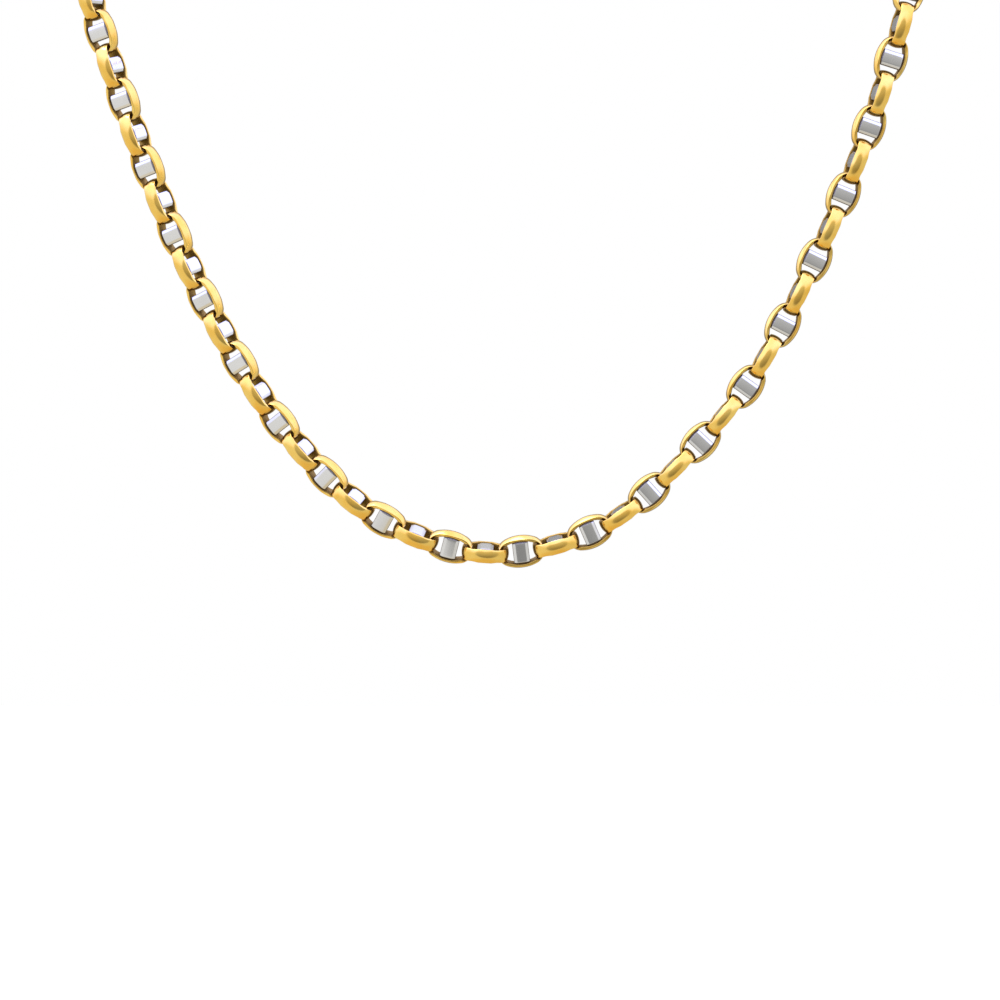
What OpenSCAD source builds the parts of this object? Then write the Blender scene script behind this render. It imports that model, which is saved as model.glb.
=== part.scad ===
// Mariner link chain: a closed two-tone necklace of oval links, each with a bar across its middle.
// Millimetres, +Z up, +X to the viewer's right, the viewer looks along +Y.
// The origin is the middle of the neck opening, level with the chain at the nape.

/* [Oval link] */
// Outer length of a link
link_length = 7.1; // [6.9:0.05:7.3]
// Outer width of a link
link_width = 5; // [4.8:0.1:5.3]
// Outer radius of a link's rounded ends
link_end_radius = 2.2; // [2.1:0.05:2.3]
// Wall of a link's band, seen from its open side
link_wall = 0.72; // [0.64:0.02:0.78]
// Depth of the band beside the bar
link_depth = 2.1; // [1.9:0.1:2.3]
// Depth of the band at a link's two ends
link_end_depth = 2; // [1.8:0.05:2.1]
// Bevel along the band's outer edges
link_bevel = 0.35; // [0.2:0.05:0.4]
// Bevel at a link's two ends
end_bevel = 0.15; // [0.1:0.05:0.25]

/* [Cross bar] */
// Size of the bar along the link
bar_length = 2.4; // [2:0.1:2.6]
// Depth of the bar, from face to face
bar_depth = 2; // [1.8:0.05:2.1]
// Width of the bevel along the bar's long edges
bar_bevel = 0.45; // [0.3:0.05:0.6]
// Fall of that bevel from the bar's face to its edge
bar_bevel_fall = 0.25; // [0.15:0.05:0.45]
// Bevel at the bar's two ends, where it meets the band
bar_end_bevel = 0.3; // [0.2:0.05:0.4]

/* [Clasp] */
// Outer length of the clasp
clasp_length = 12; // [11:0.5:13]
// Outer width of the clasp
clasp_width = 5.6; // [5.2:0.2:6]
// Outer radius of the clasp's rounded ends
clasp_end_radius = 2.4; // [2.2:0.1:2.6]
// Depth of the clasp beside its solid middle
clasp_depth = 2.2; // [2:0.1:2.4]
// Length of the clasp's solid middle
clasp_middle_length = 6; // [5:0.5:6.5]

/* [Fit] */
// Play along the chain between two joined links, end to end
link_play = 0.24; // [0.22:0.01:0.32]
// Half of the flat stretch on the inside of a link's end, between its two countersinks
flat_half = 0.2; // [0.15:0.05:0.25]
// Largest bend between two joined links, in degrees, that the countersinks leave room for
link_bend = 12; // [10:1:14]

/* [Hidden] */
$fn = 48;
yellow_gold = [0.85, 0.66, 0.3];
white_gold = [0.8, 0.8, 0.82];
overlap = 1;

// The way round: the middle line of the chain, from the clasp down the left side and up the right.
// facing is how far the outward side has turned up from the front, and roll how far the links
// with the open side to the front are turned about the chain, both in degrees.
ROUTE = [
    // x, y, z, facing, roll
    [-3.5, 33.5, 0, 90, 12],
    [-19, 30, 0, 90, 14],
    [-34, 19.5, 0, 90, 18],
    [-46.5, 6, -1, 85, 22],
    [-55.5, -8, -4, 70, 27],
    [-61, -20, -9, 50, 30],
    [-63, -31, -18.5, 20, 31],
    [-62, -37, -31, 5, 31],
    [-58.5, -38, -43, 0, 31],
    [-54, -38, -56, 0, 32],
    [-48, -38, -71, 0, 33],
    [-40.5, -38, -86, 0, 32],
    [-31, -38, -100, 0, 29],
    [-18.5, -38, -111.5, 0, 26],
    [-2, -38, -117, 0, 18],
    [14.5, -38, -113.5, 0, 11],
    [27, -38, -103.5, 0, 5],
    [38, -38, -90.5, 0, 5],
    [46.5, -38, -74.5, 0, 8],
    [53, -38, -59.5, 0, 11],
    [58, -38, -45, 0, 12],
    [61.5, -37, -32, 10, 13],
    [63, -31, -18.5, 30, 13],
    [61, -20, -9, 60, 12],
    [55.5, -8, -4, 80, 11],
    [46.5, 6, -1, 85, 11],
    [34, 19.5, 0, 90, 11],
    [16, 30.5, 0, 90, 11],
];
X = 0;
Y = 1;
Z = 2;
FACING = 3;
ROLL = 4;

// A smooth closed curve through the route's rows: each step runs from one row to the next.
row_count = len(ROUTE);
function row(i) = ROUTE[(i + row_count) % row_count];
function between(p0, p1, p2, p3, f) =
    p1 + f/2*(p2 - p0 + f*(2*p0 - 5*p1 + 4*p2 - p3 + f*(3*(p1 - p2) + p3 - p0)));
function curve(t) = let (i = floor(t)) between(row(i - 1), row(i), row(i + 1), row(i + 2), t - i);
function place(r) = [r[X], r[Y], r[Z]];

// Samples along the curve, each with its distance from the start, and what holds at a distance.
steps_per_row = 12;
step_count = row_count*steps_per_row;
samples = [for (i = [0:step_count]) curve(i/steps_per_row)];
function step_length(i) = i < step_count ? norm(place(samples[i + 1]) - place(samples[i])) : 0;
distances = [for (i = 0, s = 0; i <= step_count; s = s + step_length(i), i = i + 1) s];
columns = [for (c = [X:ROLL]) [for (i = [0:step_count]) [distances[i], samples[i][c]]]];
function route_at(s) = [for (column = columns) lookup(s, column)];
route_length = distances[step_count];

// The inside of each end is an eye of the same radius, on the clasp too.
eye_radius = link_end_radius - link_wall;
clasp_wall = clasp_end_radius - eye_radius;

// An odd number of links, so that both links at the clasp have the same turn.
function pitch_of(length, wall) = length - 2*wall - link_play;
clasp_pitch = pitch_of(clasp_length, clasp_wall);
chain_length = route_length - clasp_pitch;
link_count = 2*ceil((chain_length/pitch_of(link_length, link_wall) - 1)/2) + 1;
link_pitch = chain_length/link_count;
middle_link = floor(link_count/2);
function joint(k) = place(route_at(clasp_pitch/2 + k*link_pitch));

// Sets what follows between two points of the route: X along the chain, Z out of the open side.
function unit(v) = v/norm(v);
module along(start, end, facing, turn) {
    t = unit(end - start);
    side = unit(cross(t, [0, -cos(facing), sin(facing)]));
    normal = cos(turn)*cross(side, t) + sin(turn)*side;
    width = cross(normal, t);
    middle = (start + end)/2;
    multmatrix([for (i = [X:Z]) [t[i], width[i], normal[i], middle[i]]]) children();
}

// Plan outline of a link: two side arcs that run smoothly into two end arcs.
module oval(length, width, end_radius) {
    end_middle = length/2 - end_radius;
    side_radius = (pow(length/2, 2) + pow(width/2, 2) - length*end_radius)/(width - 2*end_radius);
    side_middle = side_radius - width/2;
    meeting = side_radius*end_middle/norm([end_middle, side_middle]);
    for (x = [-end_middle, end_middle]) translate([x, 0]) circle(end_radius);
    intersection() {
        translate([0, side_middle]) circle(side_radius);
        translate([0, -side_middle]) circle(side_radius);
        square([2*meeting, width], center = true);
    }
}

// An outline with four like corners, from the points of its upper right one, outermost first.
module four_corners(corner) {
    polygon([
        for (p = corner) p,
        for (i = [len(corner) - 1:-1:0]) [-corner[i][X], corner[i][Y]],
        for (p = corner) [-p[X], -p[Y]],
        for (i = [len(corner) - 1:-1:0]) [corner[i][X], -corner[i][Y]],
    ]);
}

// A band whose two ends are eyes, countersunk so that the next band's end can swing in them.
module band(length, width, end_radius, depth, deep_length) {
    wall = end_radius - eye_radius;
    end_middle = length/2 - end_radius;
    half = link_end_depth/2;
    // How far the eye's end curves back over half of the next band's depth.
    fall = eye_radius - sqrt(pow(eye_radius, 2) - pow(half, 2));
    countersink = fall/(half - flat_half) + 2*tan(link_bend);
    difference() {
        intersection() {
            linear_extrude(depth + overlap, center = true) oval(length, width, end_radius);
            rotate([90, 0, 0]) linear_extrude(width + overlap, center = true) four_corners([
                [length/2, half - end_bevel],
                [length/2 - end_bevel, half],
                [deep_length/2, depth/2],
            ]);
            rotate([90, 0, 90]) linear_extrude(length + overlap, center = true) four_corners([
                [width/2, depth/2 - link_bevel],
                [width/2 - link_bevel, depth/2],
            ]);
        }
        linear_extrude(depth + overlap, center = true)
            oval(length - 2*wall, width - 2*wall, eye_radius);
        for (x = [-end_middle, end_middle], face = [0, 1]) mirror([0, 0, face])
            translate([x, 0, flat_half]) cylinder(
                h = depth,
                r1 = eye_radius,
                r2 = eye_radius + countersink*depth
            );
    }
}

// A bar across a band's opening, let into the middle of the band's wall.
module cross_bar(length, width, wall, depth) {
    opening = width - 2*wall;
    let_in = width - wall;
    intersection() {
        rotate([90, 0, 0]) linear_extrude(let_in, center = true) four_corners([
            [length/2, depth/2 - bar_bevel_fall],
            [length/2 - bar_bevel, depth/2],
        ]);
        rotate([90, 0, 90]) linear_extrude(length + overlap, center = true) four_corners([
            [width/2, depth/2 - bar_end_bevel],
            [opening/2, depth/2 - bar_end_bevel],
            [opening/2 - bar_end_bevel, depth/2],
        ]);
    }
}

module link() {
    color(yellow_gold)
        band(link_length, link_width, link_end_radius, link_depth, bar_length);
    color(white_gold) cross_bar(bar_length, link_width, link_wall, bar_depth);
}

module links(first, last) {
    for (k = [first:last]) {
        mark = route_at(clasp_pitch/2 + (k + 0.5)*link_pitch);
        along(joint(k), joint(k + 1), mark[FACING], mark[ROLL] - 90*((k + 1) % 2)) link();
    }
}

module left_chain() links(0, middle_link);

module right_chain() links(middle_link + 1, link_count - 1);

module clasp() {
    start = place(route_at(route_length - clasp_pitch/2));
    color(yellow_gold) along(start, joint(0), ROUTE[0][FACING], ROUTE[0][ROLL]) union() {
        band(clasp_length, clasp_width, clasp_end_radius, clasp_depth, clasp_middle_length);
        cross_bar(clasp_middle_length, clasp_width, clasp_wall, clasp_depth);
    }
}

left_chain();
right_chain();
clasp();
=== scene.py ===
"""Mariner link chain: the looks of a closed two-tone necklace.

Each link is a yellow gold band with a white gold bar soldered across its opening. The links follow
one smooth way round, and every second one is turned a quarter about it.
"""

import math

import bpy
import numpy as np
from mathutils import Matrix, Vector


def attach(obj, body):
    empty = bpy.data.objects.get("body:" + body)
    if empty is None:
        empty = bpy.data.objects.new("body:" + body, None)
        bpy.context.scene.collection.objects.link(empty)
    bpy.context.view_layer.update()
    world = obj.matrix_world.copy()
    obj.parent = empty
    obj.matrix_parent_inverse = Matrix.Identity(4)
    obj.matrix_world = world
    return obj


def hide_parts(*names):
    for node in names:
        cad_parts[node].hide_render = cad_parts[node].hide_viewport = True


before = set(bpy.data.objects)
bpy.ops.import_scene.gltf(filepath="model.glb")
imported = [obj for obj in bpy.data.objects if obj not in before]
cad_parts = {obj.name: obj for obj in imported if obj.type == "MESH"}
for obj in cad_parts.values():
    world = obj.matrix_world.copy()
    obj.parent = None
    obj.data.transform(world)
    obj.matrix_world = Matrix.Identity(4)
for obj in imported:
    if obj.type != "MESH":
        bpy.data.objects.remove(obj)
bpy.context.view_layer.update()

# Sizes, in millimetres
MM = 0.001
LINK = {
    "length": 7.1, "width": 5.0, "end_radius": 2.2, "depth": 2.1,
    "bar_length": 2.4, "bar_depth": 2.0,
}
CLASP = {
    "length": 12.0, "width": 5.6, "end_radius": 2.4, "depth": 2.2,
    "bar_length": 6.0, "bar_depth": 2.2,
}
# Radius of the eye inside each end of a band, and the band's depth there
EYE_RADIUS = 1.48
END_DEPTH = 2.0
# Least play between two joined links, end to end
LINK_PLAY = 0.24
# Half of the upright stretch inside an eye, and how fast the countersink past it widens
FLAT_HALF = 0.2
EYE_SLOPE = 0.55
# Outward directions, as cosines from the long axis, up to which the countersink is whole and from
# which it is gone
COUNTERSINK_WHOLE = math.cos(math.radians(46))
COUNTERSINK_GONE = math.cos(math.radians(62))
# Fall of the band's domed outer side at the rim, in the middle of its sides and at its two ends
DOME = 0.42
END_DOME = 0.18
# Heights of the dome's points, as shares of the rim's
DOME_FRACTIONS = np.array([0, 0.25, 0.48, 0.7, 0.88])
# Least flat land on the rim
LAND = 0.05
# Reach of a rounded edge, and the largest share of the land that one takes
ROUNDING = 0.05
ROUNDING_SHARE = 0.4
# Bevels along the bar's long edges and at its two ends
BAR_BEVEL = 0.45
BAR_END_BEVEL = 0.3
# Fall of the bar's face to its long edges: by its crown, and by the bevel beyond that
BAR_CROWN = 0.1
BAR_BEVEL_FALL = 0.15

# Sections of a band round its oval
BAND_RINGS = 64
# Lines over half a bar's face along and across the link, as shares of the half
FACE_LINES_ALONG = np.array([0, 0.35, 0.65, 0.85])
FACE_LINES_ACROSS = np.array([0, 0.4, 0.75])
# Lines past the start of a bevel, short of the long edge and down from it, in roundings
BEVEL_LINES = np.array([-2, -1, -0.3, 0.3, 1, 2])
EDGE_LINES = np.array([1.8, 1.1, 0.4])
DOWN_LINES = np.array([0, 0.5, 1.5])
# How far in from the long edge the bar gets painted shade, a darker colour, and more roughness, in
# roundings
PAINTED_SHADE_EDGE = 1.2

# The way round: the middle line of the chain, from the clasp down the left side and up the right.
# facing is how far the outward side has turned up from the front, and roll how far the links
# with the open side to the front are turned about the chain, both in degrees.
ROUTE = [
    # x, y, z, facing, roll
    (-3.5, 33.5, 0, 90, 12),
    (-19, 30, 0, 90, 14),
    (-34, 19.5, 0, 90, 18),
    (-46.5, 6, -1, 85, 22),
    (-55.5, -8, -4, 70, 27),
    (-61, -20, -9, 50, 30),
    (-63, -31, -18.5, 20, 31),
    (-62, -37, -31, 5, 31),
    (-58.5, -38, -43, 0, 31),
    (-54, -38, -56, 0, 32),
    (-48, -38, -71, 0, 33),
    (-40.5, -38, -86, 0, 32),
    (-31, -38, -100, 0, 29),
    (-18.5, -38, -111.5, 0, 26),
    (-2, -38, -117, 0, 18),
    (14.5, -38, -113.5, 0, 11),
    (27, -38, -103.5, 0, 5),
    (38, -38, -90.5, 0, 5),
    (46.5, -38, -74.5, 0, 8),
    (53, -38, -59.5, 0, 11),
    (58, -38, -45, 0, 12),
    (61.5, -37, -32, 10, 13),
    (63, -31, -18.5, 30, 13),
    (61, -20, -9, 60, 12),
    (55.5, -8, -4, 80, 11),
    (46.5, 6, -1, 85, 11),
    (34, 19.5, 0, 90, 11),
    (16, 30.5, 0, 90, 11),
]
PLACE, FACING, ROLL = slice(3), 3, 4
# Steps of the way round from one row to the next
STEPS_PER_ROW = 12
QUARTER_TURN = 90


def way_round():
    """Samples of a smooth closed curve through the route's rows, and each one's distance along it.

    Between two rows each column is the cubic whose slope at either row is half the step between
    that row's neighbours.
    """
    rows = np.array(ROUTE, float)
    t = np.arange(len(rows) * STEPS_PER_ROW + 1) / STEPS_PER_ROW
    i = np.floor(t).astype(int)
    f = (t - i)[:, None]
    p0, p1, p2, p3 = (rows[(i + shift) % len(rows)] for shift in (-1, 0, 1, 2))
    cubic = 3 * (p1 - p2) + p3 - p0
    samples = p1 + f / 2 * (p2 - p0 + f * (2 * p0 - 5 * p1 + 4 * p2 - p3 + f * cubic))
    steps = np.linalg.norm(np.diff(samples[:, PLACE], axis=0), axis=1)
    return np.concatenate([[0], np.cumsum(steps)]), samples


DISTANCES, SAMPLES = way_round()


def route_at(s):
    """Place, facing and roll at distances s along the way round, one row for each."""
    return np.stack([np.interp(s, DISTANCES, column) for column in SAMPLES.T], axis=-1)


def wall_of(size):
    """Wall that leaves the same eye in the band's ends on links and clasp."""
    return size["end_radius"] - EYE_RADIUS


def pitch_of(size):
    """Longest step from one joint to the next: the inner length less the play."""
    return size["length"] - 2 * wall_of(size) - LINK_PLAY


def unit(v):
    """The vectors, each scaled to a length of one."""
    return v / np.linalg.norm(v, axis=-1, keepdims=True)


def axes(start, end, facing, turn):
    """Axes of what lies between two points of the route: along it, across it, out of its open side.

    Across the chain and the outward side are turned together about the chain by the given degrees.
    """
    facing, turn = np.radians(facing), np.radians(turn)[..., None]
    outward = np.stack([0 * facing, -np.cos(facing), np.sin(facing)], axis=-1)
    along = unit(end - start)
    side = unit(np.cross(along, outward))
    normal = np.cos(turn) * np.cross(side, along) + np.sin(turn) * side
    return np.stack([along, np.cross(normal, along), normal], axis=-2), (start + end) / 2


def chain_places():
    """Axes and middles of every link, in order from the clasp, and those of the clasp.

    The number of links is odd, so that both links at the clasp have the same turn.
    """
    clasp_pitch = pitch_of(CLASP)
    chain_length = DISTANCES[-1] - clasp_pitch
    count = 2 * math.ceil((chain_length / pitch_of(LINK) - 1) / 2) + 1
    pitch = chain_length / count
    k = np.arange(count)
    joints = route_at(clasp_pitch / 2 + np.arange(count + 1) * pitch)[:, PLACE]
    marks = route_at(clasp_pitch / 2 + (k + 0.5) * pitch)
    turns = marks[:, ROLL] - QUARTER_TURN * ((k + 1) % 2)
    links = axes(joints[:-1], joints[1:], marks[:, FACING], turns)
    last = route_at(np.array([DISTANCES[-1] - clasp_pitch / 2]))[:, PLACE]
    first = np.array(ROUTE[:1])
    return links, axes(last, joints[:1], first[:, FACING], first[:, ROLL])


def oval(theta, size):
    """Points of a four-arc oval whose outward direction is theta.

    Each end arc is centred on the long axis, each side arc on the short one, and an arc's point is
    its centre plus its radius times the outward direction.
    """
    length, width, end_radius = size["length"], size["width"], size["end_radius"]
    end_middle = length / 2 - end_radius
    corner = (length / 2) ** 2 + (width / 2) ** 2
    side_radius = (corner - length * end_radius) / (width - 2 * end_radius)
    side_middle = side_radius - width / 2
    outward = np.stack([np.cos(theta), np.sin(theta)], axis=-1)
    on_end = np.abs(outward[:, 0]) * side_middle > np.abs(outward[:, 1]) * end_middle
    sign = np.sign(outward)
    end_point = end_middle * sign * [1, 0] + end_radius * outward
    side_point = -side_middle * sign * [0, 1] + side_radius * outward
    return np.where(on_end[:, None], end_point, side_point), outward


def closed_both_ways(rows, columns):
    """Quads of a grid that closes on itself both ways, and each corner's unwrapped place in it."""
    i, j = np.meshgrid(np.arange(rows), np.arange(columns), indexing="ij")
    corners = np.stack([[i, j], [i + 1, j], [i + 1, j + 1], [i, j + 1]], axis=-1)
    corners = corners.reshape(2, -1, 4)
    return corners[0] % rows * columns + corners[1] % columns, corners


def closed_tube(rows, columns):
    """Quads of a grid that closes on itself across and has a cap over its first and last row.

    The first half of a row runs over the upper side and the second half back over the lower, so
    each quad of a cap joins two neighbours above with the two below them.
    """
    i, j = np.meshgrid(np.arange(rows - 1), np.arange(columns), indexing="ij")
    walls = np.stack([[i, j], [i, j + 1], [i + 1, j + 1], [i + 1, j]], axis=-1).reshape(2, -1, 4)
    a = np.arange(columns // 2 - 1)
    cap = np.stack([a, columns - 1 - a, columns - 2 - a, a + 1], axis=-1)
    low = np.stack([0 * cap, cap])
    high = np.stack([0 * cap + rows - 1, cap[:, ::-1]])
    corners = np.concatenate([walls, low, high], axis=1)
    return corners[0] * columns + corners[1] % columns, corners


def rounded(before, corner, after, room):
    """A corner of each section as a short parabola that begins and ends this far from it."""
    back = unit(before - corner) * room
    on = unit(after - corner) * room
    return np.stack([corner + back, corner + (back + on) / 4, corner + on], axis=1)


# Share of painted shade at each point of the section's upper half, which darkens the colour inside
# the
# link and adds roughness there: nine points of the outer side and the rim, the rim's inner edge, and
# the rest
PAINTED_SHADE_FROM_RIM = np.array([0] * 9 + [0.5] + [1] * 5)


def band_sections(size, outline, outward):
    """Section of a band at each point of its oval: how far in from it each point is, and how high.

    The outer side falls inwards with the square of the height, by less towards the two ends: the
    fall at the rim goes with the fourth power of one less the square of the place along the link.
    The inner side is upright to where the eye's countersink, a cone about the end's middle, meets
    it, and follows that. The cone fades out where the outward direction turns to the side, because
    the next link swings only in the end.
    """
    wall = wall_of(size)
    end_middle = size["length"] / 2 - size["end_radius"]
    from_eye = outline - end_middle * np.sign(outward) * [1, 0]
    straight = (from_eye * outward).sum(axis=1)
    aside = np.maximum((from_eye**2).sum(axis=1) - straight**2, 0)
    deep_to, slim_at = size["bar_length"] / 2, size["length"] / 2
    slim = np.clip((np.abs(outline[:, 0]) - deep_to) / (slim_at - deep_to), 0, 1)
    half_depth = (size["depth"] + (END_DEPTH - size["depth"]) * slim) / 2

    def cone_height(inwards):
        """Height at which the countersink is this far in from the oval."""
        return FLAT_HALF + (np.hypot(straight - inwards, np.sqrt(aside)) - EYE_RADIUS) / EYE_SLOPE

    middling = 1 - (2 * outline[:, 0] / size["length"]) ** 2
    dome = END_DOME + (DOME - END_DOME) * middling**4
    rim = dome + LAND + ROUNDING
    top = np.minimum(half_depth, cone_height(rim))
    cone_radius = EYE_RADIUS + EYE_SLOPE * (top - FLAT_HALF)
    cone_in = straight - np.sqrt(np.maximum(cone_radius**2 - aside, 0))
    swing = (np.abs(outward[:, 0]) - COUNTERSINK_GONE) / (COUNTERSINK_WHOLE - COUNTERSINK_GONE)
    swing = np.clip(swing, 0, 1)
    spared = wall - 2 * ROUNDING
    inner_top = spared + (np.clip(cone_in, rim, spared) - spared) * swing
    upright = top - 2 * ROUNDING
    inner_height = upright + (np.clip(cone_height(wall), FLAT_HALF, upright) - upright) * swing
    domed = np.stack([dome[:, None] * DOME_FRACTIONS**2, top[:, None] * DOME_FRACTIONS], axis=-1)
    outer_corner = np.stack([dome, top], axis=-1)
    inner_corner = np.stack([inner_top, top], axis=-1)
    eye_corner = np.stack([0 * top + wall, inner_height], axis=-1)
    middle = np.stack([0 * top + wall, 0 * top], axis=-1)
    room = np.minimum(ROUNDING, ROUNDING_SHARE * (inner_top - dome))[:, None]
    upper = np.concatenate([
        domed,
        rounded(domed[:, -1], outer_corner, inner_corner, room),
        rounded(outer_corner, inner_corner, eye_corner, room),
        rounded(inner_corner, eye_corner, middle, ROUNDING),
        middle[:, None],
    ], axis=1)
    return np.concatenate([upper, upper[:, -2:0:-1] * [1, -1]], axis=1)


def band(size):
    """Band of a link in its own axes: its section carried round the oval.

    At outward direction theta a section point lies its first number in from the oval and its second
    number up or down.
    """
    theta = 2 * np.pi * np.arange(BAND_RINGS) / BAND_RINGS
    outline, outward = oval(theta, size)
    section = band_sections(size, outline, outward)
    steps = section.shape[1]
    flat = outline[:, None, :] - section[..., :1] * outward[:, None, :]
    points = np.concatenate([flat, section[..., 1:]], axis=-1)
    quads, corners = closed_both_ways(BAND_RINGS, steps)
    girth = 2 * (wall_of(size) + size["depth"])
    reach = 2 * (size["length"] + size["width"])
    grain = np.stack([corners[0] * reach / BAND_RINGS, corners[1] * girth / steps], axis=-1)
    # Painted shade on the band's inner side, half of it at the rim's inner edge
    painted_shade_mask = np.concatenate([PAINTED_SHADE_FROM_RIM, PAINTED_SHADE_FROM_RIM[-2:0:-1]])
    return points.reshape(-1, 3), quads, grain, np.tile(painted_shade_mask, BAND_RINGS)


def bend(x, rounding):
    """0 well below 0 and x well above it, with a rounded corner between."""
    return (x + np.sqrt(x * x + rounding * rounding)) / 2


def mirrored(half, sign=1):
    """Values on both sides of a middle, from those that start at it."""
    return np.concatenate([sign * half[:0:-1], half])


def bar(size):
    """Bar of a link in its own axes: a bevelled section carried across the link and into its walls.

    Above the point x, y the face lies at half the bar's depth, less a shallow crown that grows with
    the square of x, less each bevel's rounded fall past where it begins. The section's last points
    go straight down from the long edge.
    """
    half_length = size["bar_length"] / 2
    half_opening = size["width"] / 2 - wall_of(size)
    let_in = size["width"] / 2 - wall_of(size) / 2
    flat_x = half_length - BAR_BEVEL
    flat_y = half_opening - BAR_END_BEVEL
    x = np.concatenate([
        flat_x * FACE_LINES_ALONG,
        flat_x + ROUNDING * BEVEL_LINES,
        half_length - ROUNDING * EDGE_LINES,
        np.full(len(DOWN_LINES), half_length),
    ])
    y = np.concatenate([
        flat_y * FACE_LINES_ACROSS,
        flat_y + ROUNDING * BEVEL_LINES,
        [half_opening, let_in],
    ])
    slope = BAR_BEVEL_FALL / BAR_BEVEL
    drop = BAR_CROWN * (x / half_length) ** 2 + slope * bend(x - flat_x, ROUNDING)
    drop[-len(DOWN_LINES):] += ROUNDING * DOWN_LINES
    fall = bend(np.minimum(y, half_opening) - flat_y, ROUNDING)
    x, y = mirrored(x, -1), mirrored(y, -1)
    top = size["bar_depth"] / 2 - mirrored(fall)[:, None] - mirrored(drop)
    x = np.broadcast_to(x, top.shape)
    section = np.concatenate([np.stack([x, top], -1), np.stack([x, -top], -1)[:, ::-1]], axis=1)
    rows, columns = section.shape[:2]
    across = np.broadcast_to(y[:, None], (rows, columns))
    points = np.stack([section[..., 0], across, section[..., 1]], axis=-1)
    quads, corners = closed_tube(rows, columns)
    girth = 2 * (size["bar_length"] + size["bar_depth"])
    grain = np.stack([corners[1] * girth / columns, corners[0] * 2 * let_in / rows], axis=-1)
    # Painted shade at the bar's ends, where they meet the band, and along its long edges
    at_end = np.clip((np.abs(across) - flat_y) / ROUNDING + 1, 0, 1)
    at_side = np.abs(section[..., 0]) > half_length - PAINTED_SHADE_EDGE * ROUNDING
    return points.reshape(-1, 3), quads, grain, np.maximum(at_end, at_side).ravel()


def joined(shapes):
    """Several shapes as one."""
    points, quads, grain, painted_shade_mask = zip(*shapes)
    starts = np.cumsum([0] + [len(p) for p in points])
    quads = [q + start for q, start in zip(quads, starts)]
    return tuple(np.concatenate(parts) for parts in (points, quads, grain, painted_shade_mask))


# Shift of the polishing lines from one link to the next, in millimetres
GRAIN_SHIFT = 7.3


def repeated(shape, places):
    """One copy of a shape at each place: its points times the place's axes, plus its middle."""
    points, quads, grain, painted_shade_mask = shape
    turned, middles = places
    count = len(middles)
    copies = (points @ turned + middles[:, None, :]) * MM
    shift = np.arange(count)[:, None, None]
    quads = quads + shift * len(points)
    grain = grain + (GRAIN_SHIFT * shift)[..., None]
    painted_shade_mask = np.tile(painted_shade_mask, count)
    return copies.reshape(-1, 3), quads.reshape(-1, 4), grain.reshape(-1, 4, 2), painted_shade_mask


def piece(name, shape, finish, node):
    """A mesh object at the origin, riding on the chain in place of a CAD node."""
    points, quads, grain, painted_shade_mask = shape
    mesh = bpy.data.meshes.new(name)
    mesh.vertices.add(len(points))
    mesh.vertices.foreach_set("co", points.astype(np.float32).ravel())
    mesh.loops.add(quads.size)
    mesh.loops.foreach_set("vertex_index", quads.astype(np.int32).ravel())
    mesh.polygons.add(len(quads))
    mesh.polygons.foreach_set("loop_start", np.arange(0, quads.size, 4, dtype=np.int32))
    layer = mesh.uv_layers.new(name="grain")
    layer.data.foreach_set("uv", grain.astype(np.float32).ravel())
    # Share of painted shade at each point, which the material reads
    mask = mesh.attributes.new("painted_shade_mask", "FLOAT", "POINT")
    mask.data.foreach_set("value", painted_shade_mask.astype(np.float32))
    mesh.update(calc_edges=True)
    mesh.validate()
    mesh.shade_smooth()
    mesh.materials.append(finish)
    made = bpy.data.objects.new(name, mesh)
    bpy.context.scene.collection.objects.link(made)
    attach(made, "root")
    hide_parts(node)


class Wire:
    """One socket of a node tree. Arithmetic on it adds Math nodes."""

    def __init__(self, tree, socket):
        self.tree = tree
        self.socket = socket

    def _math(self, operation, a, b):
        return self.tree.add("ShaderNodeMath", {"operation": operation}, {0: a, 1: b})

    def __add__(self, other):
        return self._math("ADD", self, other)

    def __sub__(self, other):
        return self._math("SUBTRACT", self, other)

    def __rsub__(self, other):
        return self._math("SUBTRACT", other, self)

    def __mul__(self, other):
        return self._math("MULTIPLY", self, other)

    __radd__ = __add__
    __rmul__ = __mul__


class Tree:
    """A node tree that is filled by expressions."""

    def __init__(self, owner):
        owner.use_nodes = True
        self.tree = owner.node_tree
        self.tree.nodes.clear()

    def add(self, kind, settings, sockets, output=0):
        """Adds a node: its settings first, then the value or link of each named socket."""
        node = self.tree.nodes.new(kind)
        for name, value in settings.items():
            setattr(node, name, value)
        for name, value in sockets.items():
            if isinstance(value, Wire):
                self.tree.links.new(value.socket, node.inputs[name])
            else:
                node.inputs[name].default_value = value
        return Wire(self, node.outputs[output]) if node.outputs else None


def noise(tree, vector, scale, detail=3.0):
    """Soft noise about 0.5 at each place of the vector."""
    sockets = {"Vector": vector, "Scale": scale, "Detail": detail}
    return tree.add("ShaderNodeTexNoise", {}, sockets, "Fac")


def stretched(tree, vector, scale):
    """The vector with each of its directions scaled by itself."""
    return tree.add("ShaderNodeMapping", {}, {"Vector": vector, "Scale": scale})


# Numbers of a Mix node's colour sockets, which share their names with those for other data
MIX_FIRST, MIX_SECOND, MIX_RESULT = 6, 7, 2


def mixed(tree, factor, first, second):
    """A colour between two others, each a colour or a wire."""
    first, second = (c if isinstance(c, Wire) else (*c, 1) for c in (first, second))
    sockets = {"Factor": factor, MIX_FIRST: first, MIX_SECOND: second}
    return tree.add("ShaderNodeMix", {"data_type": "RGBA"}, sockets, MIX_RESULT)


def rise(tree, wire, start, end):
    """0 before the start, 1 past the end, and smooth in between."""
    sockets = {"Value": wire, "From Min": start, "From Max": end}
    return tree.add("ShaderNodeMapRange", {"interpolation_type": "SMOOTHSTEP"}, sockets)
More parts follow.
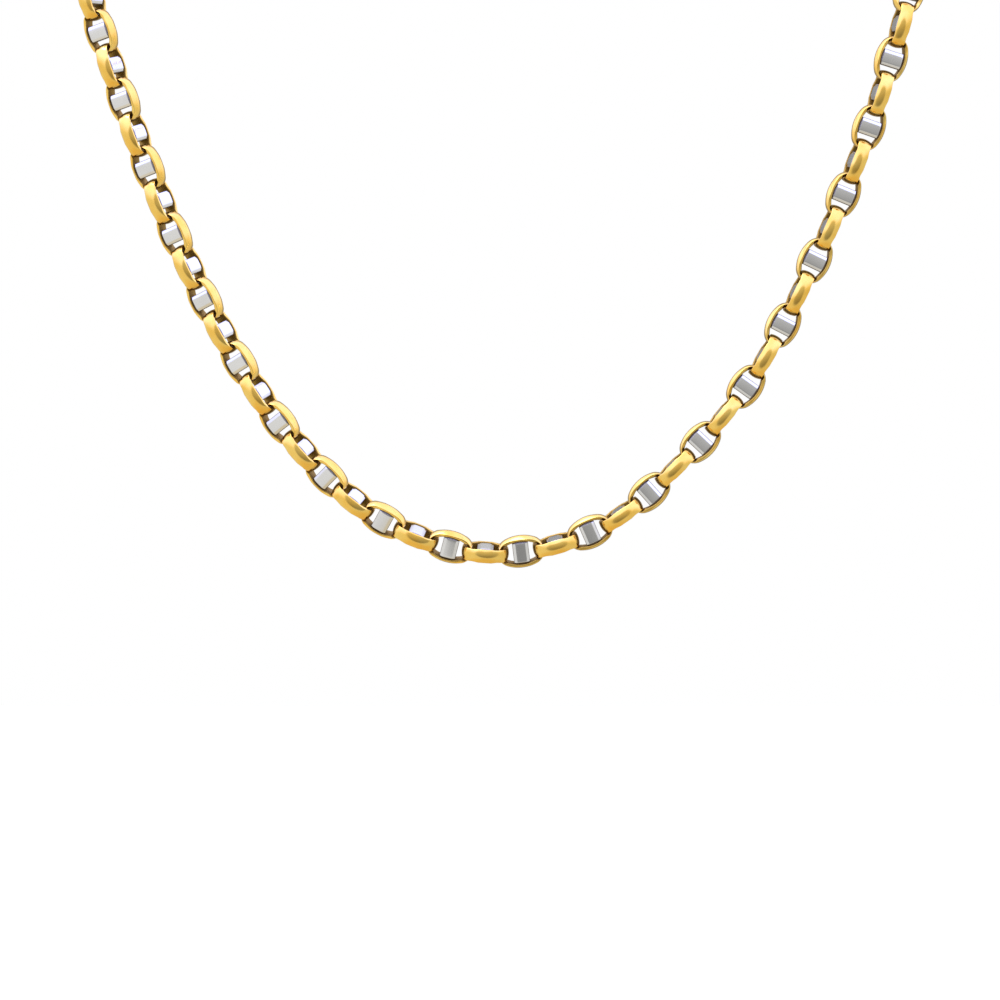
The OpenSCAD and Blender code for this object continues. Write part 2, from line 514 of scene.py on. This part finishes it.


# Each metal: its two tones, its painted shade colour for the band's inner side and the bar's ends
# and edges, its roughness where it is polished, and how many lines of the wheel there are in a
# millimetre of each direction of its grain
YELLOW_GOLD = {
    "light": (1.0, 0.71, 0.19), "deep": (0.97, 0.55, 0.08), "painted_shade": (0.33, 0.2, 0.04),
    "roughness": 0.16, "line_scale": (0.6, 9.0, 1.0),
}
WHITE_GOLD = {
    "light": (0.82, 0.81, 0.78), "deep": (0.75, 0.74, 0.71), "painted_shade": (0.32, 0.3, 0.27),
    "roughness": 0.17, "line_scale": (9.0, 0.5, 1.0),
}
# Small marks and changes of tone in a metre, how sharply the tone changes, and how fine the noise
# of the lines and marks is
MARK_SCALE = 9000.0
TONE_SCALE = 350.0
TONE_CONTRAST = 2.0
LINE_DETAIL = 4.0
MARK_DETAIL = 2.0
# What each adds to the roughness
LINE_ROUGHNESS = 0.1
MARK_ROUGHNESS = 0.06
TONE_ROUGHNESS = 0.05
HOLLOW_ROUGHNESS = 0.35
# Share of lines and marks in the relief, and its strength and depth in metres
LINE_RELIEF = 0.7
MARK_RELIEF = 0.3
RELIEF_STRENGTH = 0.12
RELIEF_DEPTH = 0.00002


def polished_metal(name, light, deep, painted_shade, roughness, line_scale):
    """Polished metal with fine lines left by the wheel, small marks and a slight change of tone.

    Painted shade darkens the colour on the inner side of the bands and at the bars' ends and long
    edges, and those places are rougher.
    """
    material = bpy.data.materials.new(name)
    tree = Tree(material)
    place = tree.add("ShaderNodeTexCoord", {}, {}, "Object")
    grain = tree.add("ShaderNodeUVMap", {"uv_map": "grain"}, {})
    lines = noise(tree, stretched(tree, grain, line_scale), 1.0, LINE_DETAIL)
    marks = noise(tree, place, MARK_SCALE, MARK_DETAIL)
    tone = noise(tree, place, TONE_SCALE)
    painted_shade_mask = tree.add("ShaderNodeAttribute", {"attribute_name": "painted_shade_mask"}, {}, "Fac")
    deepness = tone * TONE_CONTRAST - (TONE_CONTRAST - 1) / 2
    # Painted shade: the colour turns to the dark shade tone where the mask is set
    colour = mixed(tree, painted_shade_mask, mixed(tree, deepness, light, deep), painted_shade)
    relief = {
        "Strength": RELIEF_STRENGTH,
        "Distance": RELIEF_DEPTH,
        "Height": lines * LINE_RELIEF + marks * MARK_RELIEF,
    }
    bump = tree.add("ShaderNodeBump", {}, relief)
    uneven = lines * LINE_ROUGHNESS + marks * MARK_ROUGHNESS + tone * TONE_ROUGHNESS
    least = roughness - (LINE_ROUGHNESS + MARK_ROUGHNESS + TONE_ROUGHNESS) / 2
    rough = uneven + painted_shade_mask * HOLLOW_ROUGHNESS + least
    finish = {"Base Color": colour, "Metallic": 1.0, "Roughness": rough, "Normal": bump}
    shader = tree.add("ShaderNodeBsdfPrincipled", {}, finish)
    tree.add("ShaderNodeOutputMaterial", {}, {"Surface": shader})
    return material


WHITE = (1, 1, 1)
# Light levels of the studio, and the parts of a direction over which they come: around and below,
# what is gained upwards and to the left, and behind
AROUND_LEVEL = 0.75
ABOVE_GAIN, ABOVE_RANGE = 0.7, (-0.2, 0.45)
LEFT_GAIN, LEFT_RANGE = 0.1, (-0.1, 0.8)
BEHIND_LEVEL, BEHIND_RANGE = 0.28, (0.55, 0.95)
# The dark patch in front: its direction, the cosines from that at which it begins and is whole,
# and its light level, with what it gains upwards
DARK_FRONT = (0.08, -0.986, -0.15)
FRONT_RANGE = (0.78, 0.88)
FRONT_LEVEL = 0.53
FRONT_SLOPE = 0.45
# Tints of the brightest light, by its level, and of the lowest, by the direction's height
BRIGHT_TINT, BRIGHT_RANGE = (0.95, 1.0, 1.75), (0.85, 1.3)
LOW_TINT, LOW_RANGE = (1.0, 0.86, 0.6), (-0.95, -0.65)


def studio():
    """A bright studio: brightest above and to the left, warm below, dim behind and dark in front."""
    world = bpy.data.worlds.new("studio")
    bpy.context.scene.world = world
    tree = Tree(world)
    direction = tree.add("ShaderNodeTexCoord", {}, {}, "Generated")
    x = tree.add("ShaderNodeSeparateXYZ", {}, {"Vector": direction}, "X")
    y = tree.add("ShaderNodeSeparateXYZ", {}, {"Vector": direction}, "Y")
    z = tree.add("ShaderNodeSeparateXYZ", {}, {"Vector": direction}, "Z")
    around = AROUND_LEVEL + rise(tree, z, *ABOVE_RANGE) * ABOVE_GAIN
    around = around + rise(tree, x * -1.0, *LEFT_RANGE) * LEFT_GAIN
    nearness = {0: direction, 1: DARK_FRONT}
    toward = tree.add("ShaderNodeVectorMath", {"operation": "DOT_PRODUCT"}, nearness, "Value")
    level = around + (BEHIND_LEVEL - around) * rise(tree, y, *BEHIND_RANGE)
    front = z * FRONT_SLOPE + FRONT_LEVEL
    level = level + (front - level) * rise(tree, toward, *FRONT_RANGE)
    seen = tree.add("ShaderNodeLightPath", {}, {}, "Is Camera Ray")
    colour = mixed(tree, rise(tree, z, *LOW_RANGE), LOW_TINT, WHITE)
    colour = mixed(tree, rise(tree, level, *BRIGHT_RANGE), colour, BRIGHT_TINT)
    light = tree.add("ShaderNodeBackground", {}, {"Color": colour, "Strength": level})
    plain = {"Color": (*WHITE, 1), "Strength": 1.0}
    backdrop = tree.add("ShaderNodeBackground", {}, plain)
    surface = tree.add("ShaderNodeMixShader", {}, {"Fac": seen, 1: light, 2: backdrop})
    tree.add("ShaderNodeOutputWorld", {}, {"Surface": surface})


# The view, in metres: its width and middle on the hanging chain, and how far off the camera is
VIEW_WIDTH = 0.150
VIEW_MIDDLE = (0.0, -0.038, -0.109)
VIEW_DISTANCE = 1.5
VIEW_CLIP = (0.1, 10)
SENSOR = 36.0


def camera():
    """A long lens straight in front of the hanging chain, its picture VIEW_WIDTH wide there."""
    data = bpy.data.cameras.new("camera")
    data.sensor_width = SENSOR
    data.lens = SENSOR * VIEW_DISTANCE / VIEW_WIDTH
    data.clip_start, data.clip_end = VIEW_CLIP
    made = bpy.data.objects.new("camera", data)
    x, y, z = VIEW_MIDDLE
    made.location = (x, y - VIEW_DISTANCE, z)
    made.rotation_euler = (math.pi / 2, 0, 0)
    bpy.context.scene.collection.objects.link(made)
    bpy.context.scene.camera = made


# The soft box: its place and side in metres, and its power in watts
SOFT_BOX_PLACE = (-0.25, -0.1, 0.55)
SOFT_BOX_SIDE = 0.5
SOFT_BOX_POWER = 3.0


def soft_light(name):
    """A square soft box above and to the left, which points at the middle of the view."""
    lamp = bpy.data.lights.new(name, "AREA")
    lamp.shape = "SQUARE"
    lamp.size = SOFT_BOX_SIDE
    lamp.energy = SOFT_BOX_POWER
    made = bpy.data.objects.new(name, lamp)
    bpy.context.scene.collection.objects.link(made)
    made.location = SOFT_BOX_PLACE
    made.rotation_mode = "QUATERNION"
    backward = Vector(SOFT_BOX_PLACE) - Vector(VIEW_MIDDLE)
    made.rotation_quaternion = backward.to_track_quat("Z", "Y")


# The floor: its height and side in metres, its grey, its glow and its speckled roughness
FLOOR_HEIGHT = -0.1717
FLOOR_SIDE = 3.0
FLOOR_GREY = 0.9
FLOOR_GLOW = 0.25
FLOOR_ROUGHNESS = 0.8
SPECKLE_ROUGHNESS = 0.1
SPECKLE_SCALE = 400.0


def floor():
    """A plain pale floor. It is left out of the metal's reflections, which the studio gives."""
    material = bpy.data.materials.new("pale_floor")
    tree = Tree(material)
    place = tree.add("ShaderNodeTexCoord", {}, {}, "Object")
    speckle = noise(tree, place, SPECKLE_SCALE)
    finish = {
        "Base Color": (FLOOR_GREY, FLOOR_GREY, FLOOR_GREY, 1),
        "Roughness": speckle * SPECKLE_ROUGHNESS + FLOOR_ROUGHNESS,
        "Emission Color": (*WHITE, 1),
        "Emission Strength": FLOOR_GLOW,
    }
    shader = tree.add("ShaderNodeBsdfPrincipled", {}, finish)
    tree.add("ShaderNodeOutputMaterial", {}, {"Surface": shader})
    mesh = bpy.data.meshes.new("floor")
    h = FLOOR_SIDE / 2
    mesh.from_pydata([(-h, -h, 0), (h, -h, 0), (h, h, 0), (-h, h, 0)], [], [(0, 1, 2, 3)])
    mesh.materials.append(material)
    made = bpy.data.objects.new("floor", mesh)
    made.location.z = FLOOR_HEIGHT
    made.visible_glossy = False
    bpy.context.scene.collection.objects.link(made)


camera()
yellow_gold = polished_metal("yellow_gold", **YELLOW_GOLD)
white_gold = polished_metal("white_gold", **WHITE_GOLD)

(turned, middles), clasp_place = chain_places()
left_count = len(middles) // 2 + 1
sides = {"left": slice(None, left_count), "right": slice(left_count, None)}
for side, links in sides.items():
    places = turned[links], middles[links]
    node = side + "_chain"
    piece(side + "_bands", repeated(band(LINK), places), yellow_gold, node)
    piece(side + "_bars", repeated(bar(LINK), places), white_gold, node)
plain_clasp = joined([band(CLASP), bar(CLASP)])
piece("clasp_body", repeated(plain_clasp, clasp_place), yellow_gold, "clasp")

studio()
floor()
soft_light("top_light")
bpy.context.scene.view_settings.view_transform = "Standard"
